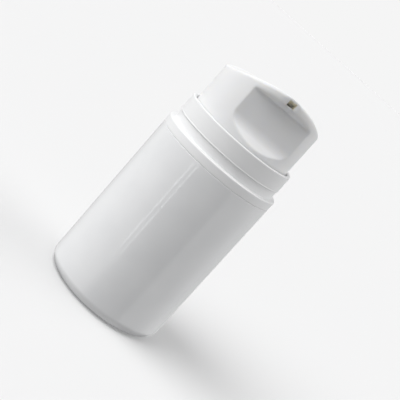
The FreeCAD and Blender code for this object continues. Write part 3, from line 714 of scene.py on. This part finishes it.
blocks = add_node(notch_tree, "GeometryNodeInstanceOnPoints", {
    "Points": spots.outputs["Geometry"], "Instance": block.outputs["Mesh"],
    "Rotation": facing.outputs["Vector"],
})
cutters = add_node(notch_tree, "GeometryNodeRealizeInstances", {"Geometry": blocks.outputs["Instances"]})
cut = add_node(notch_tree, "GeometryNodeMeshBoolean", {
    "Mesh 1": given.outputs["Geometry"], "Mesh 2": cutters.outputs["Geometry"],
}, operation="DIFFERENCE", solver="EXACT")
end_tree(notch_tree, cut.outputs["Mesh"], given, result)

# %% Turn the bottle and notch its foot
BOTTLE_OUTLINE = [
    (0.8, 0.8, 0.0), (19.0, 0.8, 0.0), (19.0, 0.0, 0.0), (27.0, 0.0, 4.4), (27.0, 71.8, 0.3),
    (26.0, 71.8, 0.0), (26.0, 71.0, 0.0), (25.2, 71.0, 0.0), (25.2, 68.3, 0.0), (25.55, 68.3, 0.0),
    (25.55, 66.9, 0.0), (25.2, 66.9, 0.0), (25.2, 2.8, 1.0), (0.8, 2.8, 0.0),
]
NOTCH_COUNT = 4
NOTCH_SIZE = (12.0 * MM, 3.0 * MM, 0.8 * MM)
NOTCH_RING = 22.0 * MM

bottle_wall = turn_outline("bottle_wall", BOTTLE_OUTLINE, bottle_white)
grow(bottle_wall, notch_tree, {
    "Count": NOTCH_COUNT, "Size": NOTCH_SIZE, "Middle Radius": NOTCH_RING, "Finish": bottle_white,
})
soften(bottle_wall)
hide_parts("bottle_body")
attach(bottle_wall, "bottle")
print("bottle wall:", len(bottle_wall.data.polygons), "faces")

# %% [markdown]
# ## Collar
# The collar snaps into the bottle's mouth. Outside it shows a band that is flush with the bottle, a
# dark groove, and an upright ring round the head on which a lid would sit. Its inner deck carries
# the pump. One outline holds all of it, so every step lines up with its neighbours.

# %% Turn the collar
COLLAR_OUTLINE = [
    (23.75, 65.8, 0.0), (25.15, 65.8, 0.0), (25.15, 67.0, 0.0), (25.45, 67.6, 0.0), (25.45, 68.2, 0.0),
    (25.15, 68.2, 0.0), (25.15, 71.8, 0.0), (27.0, 71.8, 0.3), (27.0, 75.6, 0.6), (24.75, 75.6, 0.3),
    (24.85, 79.6, 0.1), (25.2, 79.6, 0.15), (25.2, 79.95, 0.1), (25.1, 80.2, 0.1), (25.1, 87.1, 0.5),
    (23.6, 87.1, 0.5), (23.6, 75.6, 0.0),
    (13.8, 75.6, 0.0), (13.8, 80.0, 0.0), (12.2, 80.0, 0.0), (12.2, 78.8, 0.0), (12.45, 78.8, 0.0),
    (12.45, 77.8, 0.0), (12.2, 77.8, 0.0), (12.2, 75.6, 0.0), (8.95, 75.6, 0.0), (8.95, 73.6, 0.0),
    (23.75, 73.6, 0.0),
]
collar_ring = turn_outline("collar_ring", COLLAR_OUTLINE, collar_white)
soften(collar_ring)
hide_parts("closure_collar")
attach(collar_ring, "bottle")

# %% [markdown]
# ## Return spring
# The spring is wound from steel wire with its end coils closed, so that it stands square. A spiral
# curve gives the turns, and its height is shared out again: little for the end coils, much for the
# open ones. A thin circle swept along it becomes the wire.

# %% The tree that winds the spring: how high each turn lies
STEPS_PER_TURN = 48

spring_tree, given, result = start_tree("wound_spring", [
    ("Turns", "NodeSocketFloat"), ("Closed Turns", "NodeSocketFloat"),
    ("Mean Radius", "NodeSocketFloat"), ("Wire Radius", "NodeSocketFloat"),
    ("Foot", "NodeSocketFloat"), ("Height", "NodeSocketFloat"), ("Finish", "NodeSocketMaterial"),
])
coil = add_node(spring_tree, "GeometryNodeCurveSpiral", {
    "Resolution": STEPS_PER_TURN, "Rotations": given.outputs["Turns"],
    "Start Radius": given.outputs["Mean Radius"], "End Radius": given.outputs["Mean Radius"],
    "Height": 0.0,
})
part = add_node(spring_tree, "GeometryNodeSplineParameter").outputs["Factor"]
wound = add_math(spring_tree, "MULTIPLY", part, given.outputs["Turns"])
closed = given.outputs["Closed Turns"]
last = add_math(spring_tree, "SUBTRACT", given.outputs["Turns"], closed)
wire = add_math(spring_tree, "MULTIPLY", given.outputs["Wire Radius"], 2.0)
end_rise = add_math(spring_tree, "MULTIPLY", add_math(spring_tree, "MULTIPLY", closed, wire), 2.0)
taken = add_math(spring_tree, "ADD", wire, end_rise)
lift = add_math(spring_tree, "SUBTRACT", given.outputs["Height"], taken)
open_turns = add_math(spring_tree, "SUBTRACT", last, closed)
pitch = add_math(spring_tree, "DIVIDE", lift, open_turns)
first_part = add_math(spring_tree, "MINIMUM", wound, closed)
last_part = add_math(spring_tree, "MAXIMUM", add_math(spring_tree, "SUBTRACT", wound, last), 0.0)
end_parts = add_math(spring_tree, "ADD", first_part, last_part)
open_part = add_math(spring_tree, "SUBTRACT", wound, end_parts)
end_height = add_math(spring_tree, "MULTIPLY", end_parts, wire)
open_height = add_math(spring_tree, "MULTIPLY", open_part, pitch)
rise = add_math(spring_tree, "ADD", end_height, open_height)
base = add_math(spring_tree, "ADD", given.outputs["Foot"], given.outputs["Wire Radius"])
print("nodes that share out the height:", len(spring_tree.nodes))

# %% The tree that winds the spring: the wire
WIRE_STEPS = 16

lifted = add_node(spring_tree, "ShaderNodeCombineXYZ", {"Z": add_math(spring_tree, "ADD", base, rise)})
raised = add_node(spring_tree, "GeometryNodeSetPosition", {
    "Geometry": coil.outputs["Curve"], "Offset": lifted.outputs["Vector"],
})
section = add_node(spring_tree, "GeometryNodeCurvePrimitiveCircle", {
    "Resolution": WIRE_STEPS, "Radius": given.outputs["Wire Radius"],
})
marked = add_node(spring_tree, "GeometryNodeStoreNamedAttribute", {
    "Geometry": section.outputs["Curve"], "Name": "around",
    "Value": add_node(spring_tree, "GeometryNodeSplineParameter").outputs["Factor"],
}, data_type="FLOAT", domain="POINT")
drawn = add_node(spring_tree, "GeometryNodeCurveToMesh", {
    "Curve": raised.outputs["Geometry"], "Profile Curve": marked.outputs["Geometry"], "Fill Caps": True,
})
end_tree(spring_tree, drawn.outputs["Mesh"], given, result)

# %% Wind the return spring
SPRING_TURNS = 5.5
CLOSED_TURNS = 1.0
SPRING_RADIUS = 5.9 * MM
WIRE_RADIUS = 0.45 * MM
WIRE_CRISP_ANGLE = 60.0

low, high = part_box("return_spring")
wound_spring = bpy.data.objects.new("wound_spring", bpy.data.meshes.new("wound_spring"))
scene.collection.objects.link(wound_spring)
grow(wound_spring, spring_tree, {
    "Turns": SPRING_TURNS, "Closed Turns": CLOSED_TURNS, "Mean Radius": SPRING_RADIUS,
    "Wire Radius": WIRE_RADIUS, "Foot": low.z, "Height": high.z - low.z, "Finish": spring_steel,
})
soften(wound_spring, WIRE_CRISP_ANGLE)
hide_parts("return_spring")
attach(wound_spring, "bottle")
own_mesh(wound_spring)
print("spring stands from", round(low.z / MM, 2), "to", round(high.z / MM, 2), "mm")

# %% [markdown]
# ## Pieces that keep their solid
# The head and the pump's small pieces are shown as they were modelled, with exact roundings. They
# only need their finishes: white for the head, natural plastic for the chamber and its fittings,
# the waxy kind for the pieces that wipe a wall, and rubber or steel for the rest.

# %% Dress the pieces that keep their solid
FINISHES = {
    "actuator_shell": head_white,
    "spout_core": pump_plastic,
    "stem": pump_plastic,
    "piston_seat": pump_plastic,
    "pump_housing": pump_plastic,
    "housing_cap": pump_plastic,
    "valve_cage": pump_plastic,
    "pump_piston": piston_plastic,
    "follower_piston": piston_plastic,
    "mouth_gasket": seal_rubber,
    "housing_gasket": seal_rubber,
    "stem_seal": seal_rubber,
    "inlet_ball": ball_steel,
}
for name, finish in FINISHES.items():
    nodes[name].data.materials.clear()
    nodes[name].data.materials.append(finish)
print("pieces dressed as they are:", len(FINISHES))
